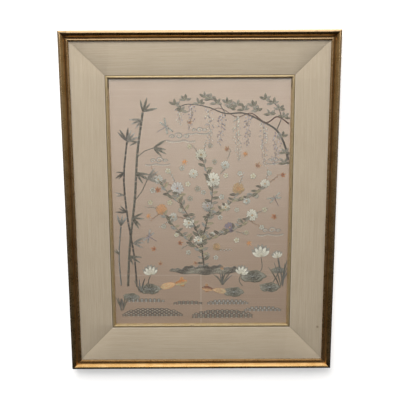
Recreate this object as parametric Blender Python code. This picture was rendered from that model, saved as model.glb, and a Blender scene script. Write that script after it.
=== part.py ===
"""Framed silk embroidery panel: a stretched silk behind glass, in a gilt slip, a wide
sloping linen liner and a mitred gilt moulding, with a plain board behind.

Metres, +Z up. The panel stands upright with its face towards -Y and its back on the
plane y = 0. The origin is on the rear face of the top rail, half way along it.
"""

import math

import bmesh
import bpy
from mathutils import Vector

# Outer size and the widths that show from the front, measured across one side
FRAME_WIDTH = 0.764
FRAME_HEIGHT = 0.976
FRAME_DEPTH = 0.049
MOULDING_FACE = 0.0275
LINER_FACE = 0.092
SLIP_FACE = 0.010

# Gilt moulding: rabbet in the back, rounded crest, a slope that steepens at its knee and
# falls to a groove, then a bead and a thin lip; pairs are inset and drop below the crest
RABBET_INSET = 0.0205
CREST_INSET = 0.0062
CREST_DROP = 0.0060
SLOPE_KNEE = (0.0140, 0.0050)
SLOPE_END = (0.0182, 0.0134)
GROOVE_END = 0.0191
BEAD_CREST = (0.0238, 0.0068)
BEAD_END = (0.0265, 0.0087)
LIP_DROP = 0.0095
LIP_THICKNESS = 0.0017

# Glass, liner, slip, silk and board, each a little apart from the next
GAP = 0.0003
GLASS_THICKNESS = 0.002
LINER_INNER_HEIGHT = 0.0187
LINER_NOSE = 0.0007
SILK_UNDERLAP = 0.010
SLIP_CREST_INSET = 0.0060
SLIP_CREST_HEIGHT = 0.0195
SLIP_OUTER_HEIGHT = 0.0166
SLIP_INNER_HEIGHT = 0.0108
BOARD_BACK = 0.0045
BOARD_THICKNESS = 0.003
SILK_THICKNESS = 0.0012
SILK_RELIEF = 0.0004
SILK_EDGE_PLAY = 0.0005
CREASE_WIDTH = 0.006
CROSS_CREASE_BELOW_CENTRE = 0.21
SILK_CELLS = (26, 36)

BOARD_FRONT = BOARD_BACK + BOARD_THICKNESS
SILK_BACK = BOARD_FRONT + GAP
SILK_FRONT = SILK_BACK + SILK_THICKNESS
SLIP_BACK = SILK_FRONT + SILK_RELIEF + GAP
LIP_BACK = FRAME_DEPTH - LIP_DROP - LIP_THICKNESS
GLASS_FRONT = LIP_BACK - GAP
GLASS_BACK = GLASS_FRONT - GLASS_THICKNESS
FITTED_INSET = RABBET_INSET + GAP
LINER_INNER_INSET = MOULDING_FACE + LINER_FACE
SLIP_OUTER_INSET = LINER_INNER_INSET + GAP
SLIP_INNER_INSET = SLIP_OUTER_INSET + SLIP_FACE
SILK_REBATE_INSET = LINER_INNER_INSET - SILK_UNDERLAP
SILK_EDGE_INSET = SILK_REBATE_INSET + SILK_EDGE_PLAY
CENTRE = Vector((0.0, 0.0, RABBET_INSET / 2 - FRAME_HEIGHT / 2))

# name of the side: its outward direction and the direction along it
SIDES = {
    "top": (Vector((0, 0, 1)), Vector((1, 0, 0))),
    "right": (Vector((1, 0, 0)), Vector((0, 0, -1))),
    "bottom": (Vector((0, 0, -1)), Vector((-1, 0, 0))),
    "left": (Vector((-1, 0, 0)), Vector((0, 0, 1))),
}

# name of the finish: colour, metallic value, roughness
FINISHES = {
    "gilt_moulding": ((0.42, 0.27, 0.11), 0.85, 0.34),
    "linen_liner": ((0.47, 0.40, 0.31), 0.0, 0.85),
    "gilt_slip": ((0.52, 0.38, 0.17), 0.85, 0.38),
    "pane": ((0.90, 0.93, 0.92), 0.0, 0.03),
    "silk": ((0.45, 0.36, 0.29), 0.0, 0.48),
    "board": ((0.34, 0.25, 0.17), 0.0, 0.80),
}


def clear_scene():
    for obj in list(bpy.data.objects):
        bpy.data.objects.remove(obj)


def finish(name):
    """The Principled material of this name, made the first time it is asked for."""
    if name in bpy.data.materials:
        return bpy.data.materials[name]
    colour, metallic, roughness = FINISHES[name]
    material = bpy.data.materials.new(name)
    material.use_nodes = True
    shader = material.node_tree.nodes["Principled BSDF"]
    shader.inputs["Base Color"].default_value = (*colour, 1.0)
    shader.inputs["Metallic"].default_value = metallic
    shader.inputs["Roughness"].default_value = roughness
    if name == "pane":
        shader.inputs["Transmission Weight"].default_value = 1.0
    material.diffuse_color = (*colour, 1.0)
    return material


def add_object(name, bm, material_name):
    bmesh.ops.recalc_face_normals(bm, faces=bm.faces)
    mesh = bpy.data.meshes.new(name)
    bm.to_mesh(mesh)
    bm.free()
    mesh.materials.append(finish(material_name))
    obj = bpy.data.objects.new(name, mesh)
    bpy.context.scene.collection.objects.link(obj)
    return obj


def bow(start, end, rise, steps):
    """Points from start to end on a curve that stands `rise` off the straight line."""
    start, end = Vector(start), Vector(end)
    across = end - start
    outwards = Vector((-across.y, across.x)).normalized()
    return [
        start + across * t + outwards * (rise * 4 * t * (1 - t))
        for t in (i / steps for i in range(1, steps + 1))
    ]


def moulding_profile():
    """Section of the gilt moulding, as (inset from the outer edge, height above the back)."""
    top = FRAME_DEPTH
    shoulder = (0.0, top - CREST_DROP)
    crest = (CREST_INSET, top)
    knee = (SLOPE_KNEE[0], top - SLOPE_KNEE[1])
    slope_end = (SLOPE_END[0], top - SLOPE_END[1])
    groove = (GROOVE_END, top - SLOPE_END[1])
    bead_crest = (BEAD_CREST[0], top - BEAD_CREST[1])
    bead_end = (BEAD_END[0], top - BEAD_END[1])
    points = [Vector((0.0, 0.0)), Vector(shoulder)]
    points += bow(shoulder, crest, 0.0013, 5)
    points += bow(crest, knee, 0.0008, 5)
    points += bow(knee, slope_end, 0.0005, 4)
    points += [Vector(groove)]
    points += bow(groove, bead_crest, 0.0011, 5)
    points += bow(bead_crest, bead_end, 0.0008, 4)
    points += [
        Vector((MOULDING_FACE, top - LIP_DROP)),
        Vector((MOULDING_FACE, LIP_BACK)),
        Vector((RABBET_INSET, LIP_BACK)),
        Vector((RABBET_INSET, 0.0)),
    ]
    return points


def liner_profile():
    """Section of the linen liner: a wedge that slopes in towards the slip, with a soft nose."""
    slope_end = (LINER_INNER_INSET - LINER_NOSE, LINER_INNER_HEIGHT)
    nose_end = (LINER_INNER_INSET, LINER_INNER_HEIGHT - LINER_NOSE)
    points = [
        Vector((FITTED_INSET, BOARD_FRONT + GAP)),
        Vector((FITTED_INSET, GLASS_BACK - GAP)),
        Vector(slope_end),
    ]
    points += bow(slope_end, nose_end, 0.0002, 3)
    points += [
        Vector((LINER_INNER_INSET, SLIP_BACK)),
        Vector((SILK_REBATE_INSET, SLIP_BACK)),
        Vector((SILK_REBATE_INSET, BOARD_FRONT + GAP)),
    ]
    return points


def slip_profile():
    """Section of the gilt slip: an outer flank, a round crest and a steep inner slope."""
    outer = (SLIP_OUTER_INSET, SLIP_OUTER_HEIGHT)
    crest = (SLIP_OUTER_INSET + SLIP_CREST_INSET, SLIP_CREST_HEIGHT)
    inner = (SLIP_INNER_INSET, SLIP_INNER_HEIGHT)
    points = [Vector((SLIP_OUTER_INSET, SLIP_BACK)), Vector(outer)]
    points += bow(outer, crest, 0.0009, 5)
    points += bow(crest, inner, 0.0012, 8)
    points += [Vector((SLIP_INNER_INSET, SLIP_BACK))]
    return points


def mitred_piece(name, side, profile, material_name):
    """One side of a four-sided surround, its ends cut at 45 degrees, half a gap back."""
    outward, along = SIDES[side]
    half = Vector((FRAME_WIDTH / 2, 0.0, FRAME_HEIGHT / 2))
    to_edge = abs(outward.dot(half))
    to_end = abs(along.dot(half)) - GAP / math.sqrt(2)
    bm = bmesh.new()
    rims = []
    for end in (-1, 1):
        ring = [
            bm.verts.new(
                CENTRE + outward * (to_edge - p.x) + along * end * (to_end - p.x) - Vector((0, p.y, 0))
            )
            for p in profile
        ]
        bm.faces.new(ring)
        rims.append(ring)
    rim_edges = [edge for edge in bm.edges]
    bmesh.ops.bridge_loops(bm, edges=rim_edges)
    return add_object(name, bm, material_name)


def surround(prefix, profile, material_name):
    for side in SIDES:
        mitred_piece(f"{prefix}_{side}", side, profile, material_name)


def flat_panel(name, inset, back, thickness, edge_bevel, material_name):
    """A rectangular plate whose edge lies `inset` inside the frame's outer edge."""
    bm = bmesh.new()
    bmesh.ops.create_cube(bm, size=1.0)
    size = Vector((FRAME_WIDTH - 2 * inset, thickness, FRAME_HEIGHT - 2 * inset))
    bmesh.ops.scale(bm, vec=size, verts=bm.verts)
    bmesh.ops.translate(bm, vec=CENTRE - Vector((0, back + thickness / 2, 0)), verts=bm.verts)
    obj = add_object(name, bm, material_name)
    bevel = obj.modifiers.new("eased edge", "BEVEL")
    bevel.width = edge_bevel
    bevel.segments = 1
    return obj


def silk_relief(x, z):
    """Height of the silk at a place on its face, from 0 to SILK_RELIEF, with two pressed creases."""
    swell = math.sin(7.0 * x + 1.1) * math.sin(5.3 * z + 0.4) + 0.5 * math.sin(13.0 * x - 8.0 * z)
    height = 0.5 + 0.22 * swell
    for distance in (abs(x), abs(z + CROSS_CREASE_BELOW_CENTRE)):
        height += 0.35 * max(0.0, 1 - distance / CREASE_WIDTH)
    return SILK_RELIEF * min(max(height, 0.0), 1.0)


def crease_spaced(count, half, crease):
    """Places across a side, evenly spaced, with the nearest three moved to one crease's lines."""
    places = [half * (2 * i / count - 1) for i in range(count + 1)]
    nearest = min(range(1, count), key=lambda i: abs(places[i] - crease))
    for step in (-1, 0, 1):
        places[nearest + step] = crease + step * CREASE_WIDTH
    return places


def silk_sheet():
    """The stretched silk: one thin sheet on a grid, a little uneven, creased where it was folded."""
    half_x = FRAME_WIDTH / 2 - SILK_EDGE_INSET
    half_z = FRAME_HEIGHT / 2 - SILK_EDGE_INSET
    columns = crease_spaced(SILK_CELLS[0], half_x, 0.0)
    rows = crease_spaced(SILK_CELLS[1], half_z, -CROSS_CREASE_BELOW_CENTRE)
    bm = bmesh.new()
    grid = [
        [
            bm.verts.new(CENTRE + Vector((x, -SILK_FRONT - silk_relief(x, z), z)))
            for x in columns
        ]
        for z in rows
    ]
    for low, high in zip(grid, grid[1:]):
        for i in range(len(columns) - 1):
            bm.faces.new((low[i], low[i + 1], high[i + 1], high[i]))
    mesh = bpy.data.meshes.new("silk_panel")
    bm.to_mesh(mesh)
    bm.free()
    mesh.materials.append(finish("silk"))
    obj = bpy.data.objects.new("silk_panel", mesh)
    bpy.context.scene.collection.objects.link(obj)
    solid = obj.modifiers.new("thickness", "SOLIDIFY")
    solid.thickness = SILK_THICKNESS
    solid.offset = -1.0
    return obj


clear_scene()
surround("frame", moulding_profile(), "gilt_moulding")
surround("liner", liner_profile(), "linen_liner")
surround("slip", slip_profile(), "gilt_slip")
flat_panel("glass", FITTED_INSET, GLASS_BACK, GLASS_THICKNESS, 0.0002, "pane")
silk_sheet()
flat_panel("backing_board", FITTED_INSET, BOARD_BACK, BOARD_THICKNESS, 0.0004, "board")
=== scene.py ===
# Framed silk embroidery panel: finishes, stitches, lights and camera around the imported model.
# Metres, +Z up. The panel's face looks along -Y and its back lies on the plane y = 0.
import math

import bpy
import numpy as np
from mathutils import Matrix, Vector, noise


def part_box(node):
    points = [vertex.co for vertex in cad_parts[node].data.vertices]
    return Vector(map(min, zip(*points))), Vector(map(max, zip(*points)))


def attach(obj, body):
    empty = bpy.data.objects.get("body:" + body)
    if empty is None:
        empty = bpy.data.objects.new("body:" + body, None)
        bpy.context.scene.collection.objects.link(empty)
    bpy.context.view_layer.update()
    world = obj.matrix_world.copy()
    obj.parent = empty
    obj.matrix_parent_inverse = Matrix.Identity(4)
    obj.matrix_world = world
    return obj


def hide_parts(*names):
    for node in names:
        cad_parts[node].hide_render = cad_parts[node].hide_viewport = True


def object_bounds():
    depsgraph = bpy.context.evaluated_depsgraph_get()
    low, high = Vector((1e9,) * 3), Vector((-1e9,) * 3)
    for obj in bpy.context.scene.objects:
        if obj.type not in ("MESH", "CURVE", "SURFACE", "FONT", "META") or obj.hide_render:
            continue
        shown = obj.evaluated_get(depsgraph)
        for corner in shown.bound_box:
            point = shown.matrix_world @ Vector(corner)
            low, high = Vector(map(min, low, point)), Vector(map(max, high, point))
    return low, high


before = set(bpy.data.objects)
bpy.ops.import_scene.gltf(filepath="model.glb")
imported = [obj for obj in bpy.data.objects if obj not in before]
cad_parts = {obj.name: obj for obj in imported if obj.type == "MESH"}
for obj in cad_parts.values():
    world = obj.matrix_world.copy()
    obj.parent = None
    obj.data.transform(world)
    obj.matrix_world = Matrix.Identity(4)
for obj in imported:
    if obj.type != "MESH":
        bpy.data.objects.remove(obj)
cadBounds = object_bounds()
print("Frame loaded:", len(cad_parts), "nodes")

frameLow, frameHigh = cadBounds
centre = (frameLow + frameHigh) / 2
halfWidth = (frameHigh.x - frameLow.x) / 2
halfHeight = (frameHigh.z - frameLow.z) / 2
sideNames = ("top", "right", "bottom", "left")
plainFloor = frameLow.z - 0.5  # the floor stands well below the panel
mouldingInner = frameHigh.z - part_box("frame_top")[0].z  # insets from the outer edge
linerInner = frameHigh.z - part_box("liner_top")[0].z
slipInner = frameHigh.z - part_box("slip_top")[0].z


# Shader helper: a wired socket that takes part in plain expressions

class Wire:
    def __init__(self, tree, socket=None):
        self.tree = tree
        self.socket = socket

    def node(self, kind, settings=None, inputs=None, out=0):
        made = self.tree.nodes.new(kind)
        for key, value in (settings or {}).items():
            if key == "stops":
                fillRamp(made.color_ramp, value)
            else:
                setattr(made, key, value)
        for key, value in (inputs or {}).items():
            if isinstance(value, Wire):
                self.tree.links.new(value.socket, made.inputs[key])
            else:
                made.inputs[key].default_value = value
        return Wire(self.tree, made.outputs[out] if made.outputs else None)

    def math(self, operation, *values):
        return self.node("ShaderNodeMath", {"operation": operation}, dict(enumerate(values)))

    def __add__(self, other):
        return self.math("ADD", self, other)

    def __radd__(self, other):
        return self.math("ADD", other, self)

    def __sub__(self, other):
        return self.math("SUBTRACT", self, other)

    def __rsub__(self, other):
        return self.math("SUBTRACT", other, self)

    def __mul__(self, other):
        return self.math("MULTIPLY", self, other)

    def sine(self):
        return self.math("SINE", self)

    def clamped(self):
        return self.node("ShaderNodeClamp", None, {0: self})

    # 0 below start, 1 past end, smooth between; start above end turns it round
    def step(self, start, end):
        settings = {"interpolation_type": "SMOOTHSTEP"}
        if start > end:
            return 1 - self.step(end, start)
        return self.node("ShaderNodeMapRange", settings, {0: self, 1: start, 2: end, 3: 0.0, 4: 1.0})

    # 1 within half a width of a place and 0 past it
    def band(self, place, width):
        return 1 - self.math("ABSOLUTE", self - place).step(width * 0.35, width * 0.65)

    def parts(self):
        split = self.node("ShaderNodeSeparateXYZ", None, {0: self}).socket.node
        return tuple(Wire(self.tree, split.outputs[i]) for i in range(3))

    def vector(self, x, y, z):
        return self.node("ShaderNodeCombineXYZ", None, {0: x, 1: y, 2: z})

    def blend(self, first, second):
        return self.node("ShaderNodeMix", {"data_type": "RGBA"}, {0: self, 6: first, 7: second}, out=2)

    def grain(self, scale, detail, roughness=0.55):
        values = {"Vector": self, "Scale": scale, "Detail": detail, "Roughness": roughness}
        return self.node("ShaderNodeTexNoise", None, values)

    def bump(self, distance, strength):
        values = {"Height": self, "Distance": distance, "Strength": strength}
        return self.node("ShaderNodeBump", None, values)


def fillRamp(ramp, stops):
    while len(ramp.elements) < len(stops):
        ramp.elements.new(0.5)
    for element, (place, colour) in zip(ramp.elements, stops):
        element.position = place
        element.color = colour


def newMaterial(name):
    material = bpy.data.materials.new(name)
    material.use_nodes = True
    tree = material.node_tree
    tree.nodes.clear()
    return material, Wire(tree)


# The Principled shader's own sockets take the plain values, and links take what varies
def finishWith(wire, shaderValues):
    shader = wire.node("ShaderNodeBsdfPrincipled", None, shaderValues)
    wire.node("ShaderNodeOutputMaterial", None, {"Surface": shader})


def grey(value):
    return (value, value, value, 1.0)


def rgb(red, green, blue):
    return (red, green, blue, 1.0)


# Modelling helpers

def deselectAll():
    bpy.ops.object.select_all(action="DESELECT")


def makeActive(piece):
    deselectAll()
    piece.select_set(True)
    bpy.context.view_layer.objects.active = piece


def applyModifier(piece, kind, **settings):
    makeActive(piece)
    modifier = piece.modifiers.new(kind.title(), kind)
    for key, value in settings.items():
        setattr(modifier, key, value)
    bpy.ops.object.modifier_apply(modifier=modifier.name)


def wear(piece, material):
    piece.data.materials.clear()
    piece.data.materials.append(material)
    for polygon in piece.data.polygons:
        polygon.material_index = 0


def dress(piece, slot, *nodes):
    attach(piece, "root")
    if nodes:
        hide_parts(*nodes)
    return piece


# Places of all vertices as one array, to read and to write back
def placesOf(mesh):
    flat = np.empty(len(mesh.vertices) * 3)
    mesh.vertices.foreach_get("co", flat)
    return flat.reshape(-1, 3)


def movePoints(mesh, places):
    mesh.vertices.foreach_set("co", np.ascontiguousarray(places, dtype=np.float64).ravel())
    mesh.update()


# A copy of a node's solid, its vertices welded and its flat faces joined
def copyOf(node, name):
    piece = bpy.data.objects.new(name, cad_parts[node].data.copy())
    bpy.context.scene.collection.objects.link(piece)
    makeActive(piece)
    bpy.ops.object.mode_set(mode="EDIT")
    bpy.ops.mesh.select_all(action="SELECT")
    bpy.ops.mesh.remove_doubles(threshold=0.00001)
    bpy.ops.mesh.dissolve_limited(angle_limit=math.radians(0.5))
    bpy.ops.object.mode_set(mode="OBJECT")
    return piece


def softenEdges(piece, width, segments, sharperThan):
    applyModifier(piece, "BEVEL", width=width, segments=segments, limit_method="ANGLE",
                  angle_limit=math.radians(sharperThan))


# A mitred side copied from its node, with soft corners, a slightly uneven face and a
# "strip" map: metres along the side, and metres in from the frame's outer edge
def mitredSide(name, node, look):
    piece = copyOf(node, name)
    softenEdges(piece, look["softEdge"], 2, 38)
    low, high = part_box(node)
    upright = node.endswith(("left", "right"))
    start, end = (low.z, high.z) if upright else (low.x, high.x)
    direction = (0, 0, 1) if upright else (1, 0, 0)
    cuts = math.ceil((end - start) / look["unevenEvery"])
    bpy.ops.object.mode_set(mode="EDIT")
    for i in range(1, cuts):
        place = start + (end - start) * i / cuts
        bpy.ops.mesh.select_all(action="SELECT")
        bpy.ops.mesh.bisect(plane_co=[place * part for part in direction], plane_no=direction)
    bpy.ops.object.mode_set(mode="OBJECT")
    places = placesOf(piece.data)
    for place in places:
        if -place[1] > look["unevenFrom"]:
            spot = Vector(place) * look["unevenScale"]
            place[1] += look["uneven"] * noise.noise(spot)
            place[0] += look["uneven"] * noise.noise(spot + Vector((7.0, 0.0, 0.0))) * 0.5
            place[2] += look["uneven"] * noise.noise(spot + Vector((0.0, 7.0, 0.0))) * 0.5
    movePoints(piece.data, places)
    mapStrip(piece, upright)
    makeActive(piece)
    bpy.ops.object.shade_smooth_by_angle(angle=math.radians(34))
    return piece


def mapStrip(piece, upright):
    stripMap = piece.data.uv_layers.new(name="strip")
    for loop, spot in zip(piece.data.loops, stripMap.data):
        place = piece.data.vertices[loop.vertex_index].co
        if upright:
            spot.uv = (place.z - centre.z, halfWidth - abs(place.x))
        else:
            spot.uv = (place.x, halfHeight - abs(place.z - centre.z))


# Four mitred sides in one finish, each over its own node
def makeSides(kind, nodes, slot, look, finish):
    for side in sideNames:
        piece = mitredSide(kind + side, nodes + side, look)
        wear(piece, finish)
        dress(piece, slot, nodes + side)


# Gilt moulding

moulding = {
    "softEdge": 0.0003, "unevenEvery": 0.03, "unevenFrom": 0.03, "unevenScale": 14.0, "uneven": 0.0002,
    "gold": rgb(0.52, 0.302, 0.108), "paleGold": rgb(0.70, 0.45, 0.20), "bole": rgb(0.090, 0.036, 0.013),
    "paintedLightGold": rgb(0.80, 0.60, 0.37), "shadedBronze": rgb(0.210, 0.120, 0.048),
    "dirtAndShade": rgb(0.036, 0.021, 0.009), "wood": rgb(0.085, 0.055, 0.030),
    "kneeInset": 0.0140, "grooveInset": 0.0187, "crestInset": 0.0040, "beadInset": 0.0226,
    "shadeBelow": 0.04 - halfHeight, "rabbetBelow": 0.0340, "rabbetInset": 0.0155, "sideBelow": 0.0325,
}


# Worn gilding: leaf over red-brown bole, rubbed on the ridges; dirt and painted shade in the hollows, a
# painted highlight on the ridges
def giltMaterial(look):
    material, wire = newMaterial("worn gilt moulding")
    where = wire.node("ShaderNodeTexCoord", out=3)
    strip = wire.node("ShaderNodeUVMap", {"uv_map": "strip"})
    along, inset, _ = strip.parts()
    height = where.parts()[1] * -1.0
    cloudy = where.grain(38.0, 4.0)
    fine = where.grain(420.0, 3.0)
    streak = wire.vector(along * 22.0, inset * 900.0, 0.0).grain(1.0, 2.0)
    tone = (cloudy * 0.6 + streak * 0.4).step(0.32, 0.68)
    leaf = tone.blend(look["gold"], look["paleGold"])
    knee, groove, bead = look["kneeInset"], look["grooveInset"], look["beadInset"]
    # The groove and the lower scoop are darkened as painted shade, with dirt specks and patches added
    hollow = inset.band(groove, 0.0024) + inset.step(knee, groove) * 0.7
    hollow = (hollow * inset.step(bead - 0.0014, groove + 0.0004)).clamped()
    dirtyAndShaded = (hollow * 0.8 + fine.step(0.60, 0.74) * 0.15 + cloudy.step(0.60, 0.75) * 0.14).clamped()
    # The crest and bead ridges are paled towards a light gold as a painted highlight
    ridge = inset.band(look["crestInset"], 0.006) + inset.band(bead, 0.005)
    rubbed = (ridge * (fine * 0.5 + cloudy * 0.5).step(0.57, 0.64) * 0.6).clamped()
    paintedLightGold = (ridge.clamped() * 0.6).blend(leaf, look["paintedLightGold"])
    # Painted shade on the bead's inner flank: a little on every rail, heaviest on the bottom rail
    level = where.parts()[2] - centre.z
    bottomShade = level.step(look["shadeBelow"] + 0.03, look["shadeBelow"]) * 0.60 + 0.20
    foot = inset.step(bead + 0.0016, mouldingInner - 0.0012)
    paintedLightGold = (foot * bottomShade).blend(paintedLightGold, look["shadedBronze"])
    bare = rubbed.blend(paintedLightGold, look["bole"])
    gilded = (dirtyAndShaded * 0.8).blend(bare, look["dirtAndShade"])
    rabbet, inside, side = look["rabbetBelow"], look["rabbetInset"], look["sideBelow"]
    behind = height.step(rabbet + 0.0005, rabbet - 0.0005) * inset.step(inside - 0.0035, inside + 0.0035)
    outerSide = inset.step(0.0016, 0.0004) * height.step(side + 0.0045, side - 0.0045)
    plain = (behind + outerSide * 0.75).clamped()
    gloss = 0.17 + cloudy * 0.12 + fine * 0.10 + dirtyAndShaded * 0.22 + rubbed * 0.2 + plain * 0.25
    dents = (cloudy * 0.7 + fine * 0.3).bump(0.0006, 0.35)
    finishWith(wire, {
        "Base Color": plain.blend(gilded, look["wood"]), "Metallic": 1 - (dirtyAndShaded * 0.35 + plain).clamped(),
        "Roughness": gloss, "Normal": dents, "Specular IOR Level": 0.35,
    })
    return material


def makeMoulding():
    makeSides("gilt_rail_", "frame_", "gilt_moulding", moulding, giltMaterial(moulding))
    print("Gilt moulding made")


# Linen liner

liner = {
    "softEdge": 0.00015, "unevenEvery": 0.03, "unevenFrom": 0.012, "unevenScale": 9.0, "uneven": 0.0003,
    "flax": rgb(0.478, 0.390, 0.300), "paleFlax": rgb(0.524, 0.437, 0.347),
    "darkFlax": rgb(0.376, 0.294, 0.212), "highlightFlax": rgb(0.564, 0.475, 0.395),
    "raw": rgb(0.30, 0.23, 0.15), "stain": rgb(0.16, 0.11, 0.07),
    "threadsPerMetre": 1250.0, "stainAt": (0.342, -0.0322, centre.z - 0.363), "stainSize": 0.0052,
}


# Slubbed linen, its heavier threads running along each side
def linenMaterial(look):
    material, wire = newMaterial("slubbed linen")
    where = wire.node("ShaderNodeTexCoord", out=3)
    along, inset, _ = wire.node("ShaderNodeUVMap", {"uv_map": "strip"}).parts()
    wander = where.grain(6.0, 2.0) * 0.004
    across = inset + wander
    longSlub = wire.vector(along * 7.0, across * 330.0, 0.0).grain(1.0, 3.0, 0.6)
    fineSlub = wire.vector(along * 45.0, across * 1300.0, 3.0).grain(1.0, 2.0, 0.6)
    crossThread = wire.vector(along * 1300.0, across * 60.0, 5.0).grain(1.0, 2.0, 0.6)
    cloudy = where.grain(14.0, 3.0)
    turn = look["threadsPerMetre"] * math.pi
    weave = (along * turn).sine() * (across * turn).sine()
    pale = (longSlub * 0.5 + fineSlub * 0.3 + crossThread * 0.2).step(0.36, 0.66)
    body = pale.blend(look["darkFlax"], look["paleFlax"])
    body = (0.35 + cloudy * 0.3).blend(look["flax"], body)
    aged = (cloudy.step(0.45, 0.75) * 0.16).blend(body, look["darkFlax"])
    # Paler along the inner nose and along the outer edge, as a painted highlight
    nose = inset.band(linerInner - 0.0007, 0.0022)
    edgeHighlight = (nose * 0.7 + inset.band(mouldingInner + 0.0007, 0.0016) * 0.35).clamped()
    edgeHighlight = edgeHighlight.blend(aged, look["highlightFlax"])
    away = {0: where, 1: look["stainAt"]}
    away = where.node("ShaderNodeVectorMath", {"operation": "DISTANCE"}, away, out=1)
    spot = (away + cloudy * 0.002).step(look["stainSize"], look["stainSize"] * 0.45)
    stained = (spot * 0.65).blend(edgeHighlight, look["stain"])
    hidden = where.parts()[1].step(-0.0150, -0.0100) * inset.step(linerInner - 0.0005, linerInner - 0.0015)
    surface = hidden.blend(stained, look["raw"])
    raised = (longSlub * 0.8 + fineSlub * 0.5 + weave * 0.22).bump(0.0004, 0.55)
    finishWith(wire, {
        "Base Color": surface, "Roughness": 0.82 + pale * 0.1, "Normal": raised,
        "Specular IOR Level": 0.25, "Sheen Weight": 0.15, "Sheen Roughness": 0.5,
    })
    return material


def makeLiner():
    makeSides("linen_side_", "liner_", "linen_liner", liner, linenMaterial(liner))
    print("Linen liner made")


# Gilt slip

slip = {
    "softEdge": 0.0003, "unevenEvery": 0.03, "unevenFrom": 0.0105, "unevenScale": 16.0, "uneven": 0.0002,
    "gold": rgb(0.60, 0.435, 0.225), "paleGold": rgb(0.76, 0.595, 0.370), "bole": rgb(0.10, 0.046, 0.017),
    "dirtAndShade": rgb(0.050, 0.033, 0.014), "wood": rgb(0.17, 0.105, 0.055),
    "crestInset": linerInner + 0.0063, "shadowAbove": 0.32,
}


def slipMaterial(look):
    material, wire = newMaterial("gilt slip")
    where = wire.node("ShaderNodeTexCoord", out=3)
    along, inset, _ = wire.node("ShaderNodeUVMap", {"uv_map": "strip"}).parts()
    cloudy = where.grain(55.0, 4.0)
    fine = where.grain(520.0, 3.0)
    streak = wire.vector(along * 26.0, inset * 1400.0, 2.0).grain(1.0, 2.0)
    leaf = (cloudy * 0.5 + streak * 0.5).step(0.34, 0.66).blend(look["gold"], look["paleGold"])
    rubbed = inset.band(look["crestInset"], 0.0022) * (fine * 0.6 + cloudy * 0.4).step(0.52, 0.62)
    rubbed = rubbed.clamped()
    # The foot darkens as painted shadow and shade: the inner edge most on the top slip, the outer flank on
    # every side, with dirt specks
    upper = (where.parts()[2] - centre.z).step(look["shadowAbove"], look["shadowAbove"] + 0.02)
    inner = inset.step(slipInner - 0.0034, slipInner - 0.0022) * (0.15 + upper * 0.85)
    outer = inset.step(linerInner + 0.0030, linerInner + 0.0016) * (0.8 - upper * 0.25)
    foot = (inner + outer + fine.step(0.62, 0.76) * 0.4).clamped()
    worn = rubbed.blend(leaf, look["bole"])
    gilded = (foot * 0.75).blend(worn, look["dirtAndShade"])
    under = where.parts()[1].step(-0.0102, -0.0098)
    finishWith(wire, {
        "Base Color": under.blend(gilded, look["wood"]),
        "Metallic": (0.72 - foot * 0.4 - under).clamped(),
        "Roughness": 0.24 + cloudy * 0.16 + fine * 0.12 + foot * 0.2 + under * 0.3,
        "Normal": (cloudy * 0.6 + fine * 0.4).bump(0.0004, 0.35), "Specular IOR Level": 0.35,
    })
    return material


def makeSlip():
    makeSides("gilt_slip_", "slip_", "gilt_slip", slip, slipMaterial(slip))
    print("Gilt slip made")


# Glass

pane = {
    "softEdge": 0.0002, "tint": rgb(0.985, 0.995, 0.990), "edgeIor": 1.45, "twoFaces": 1.8,
    "polish": 0.012, "ripple": 0.05,
}


def paneMaterial(look):
    material, wire = newMaterial("picture glass")
    where = wire.node("ShaderNodeTexCoord", out=3)
    ripple = where.grain(5.0, 1.0).bump(0.0004, look["ripple"])
    clear = wire.node("ShaderNodeBsdfTransparent", None, {"Color": look["tint"]})
    shine = wire.node("ShaderNodeBsdfGlossy", None, {"Roughness": look["polish"], "Normal": ripple})
    outside = 1 - wire.node("ShaderNodeNewGeometry", out=6)  # rays inside the pane pass straight on
    mirror = wire.node("ShaderNodeFresnel", None, {"IOR": look["edgeIor"], "Normal": ripple}) * outside
    share = (mirror * look["twoFaces"]).clamped()
    both = wire.node("ShaderNodeMixShader", None, {0: share, 1: clear, 2: shine})
    wire.node("ShaderNodeOutputMaterial", None, {"Surface": both})
    return material


def makePane():
    piece = copyOf("glass", "picture_glass")
    softenEdges(piece, pane["softEdge"], 1, 40)
    wear(piece, paneMaterial(pane))
    dress(piece, "pane", "glass")
    print("Glass made")


# Ribbed silk ground: a thin stretched sheet with two pressed creases

silk = {
    "cells": (140, 194), "thickness": 0.0012, "relief": 0.0004, "creaseWidth": 0.006,
    "crossCreaseBelow": 0.21, "ground": rgb(0.343, 0.237, 0.173), "pale": rgb(0.382, 0.271, 0.203),
    "deep": rgb(0.286, 0.193, 0.137),
    "creaseColour": rgb(0.450, 0.360, 0.290), "ribsPerMetre": 1100.0,
}
silkLow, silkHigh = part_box("silk_panel")
silkSize = (silkHigh.x - silkLow.x, silkHigh.z - silkLow.z)
silkBack = -silkHigh.y


# Height of the silk's face over its thickness, as in the solid; x and z from the panel's centre
def silkRelief(x, z):
    swell = np.sin(7.0 * x + 1.1) * np.sin(5.3 * z + 0.4) + 0.5 * np.sin(13.0 * x - 8.0 * z)
    height = 0.5 + 0.22 * swell
    for distance in (np.abs(x), np.abs(z + silk["crossCreaseBelow"])):
        height = height + 0.35 * np.maximum(0.0, 1 - distance / silk["creaseWidth"])
    return silk["relief"] * np.clip(height, 0.0, 1.0)


# y of the silk's face at a place on the panel
def silkFace(x, z):
    return -(silkBack + silk["thickness"] + silkRelief(x, z))


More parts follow.
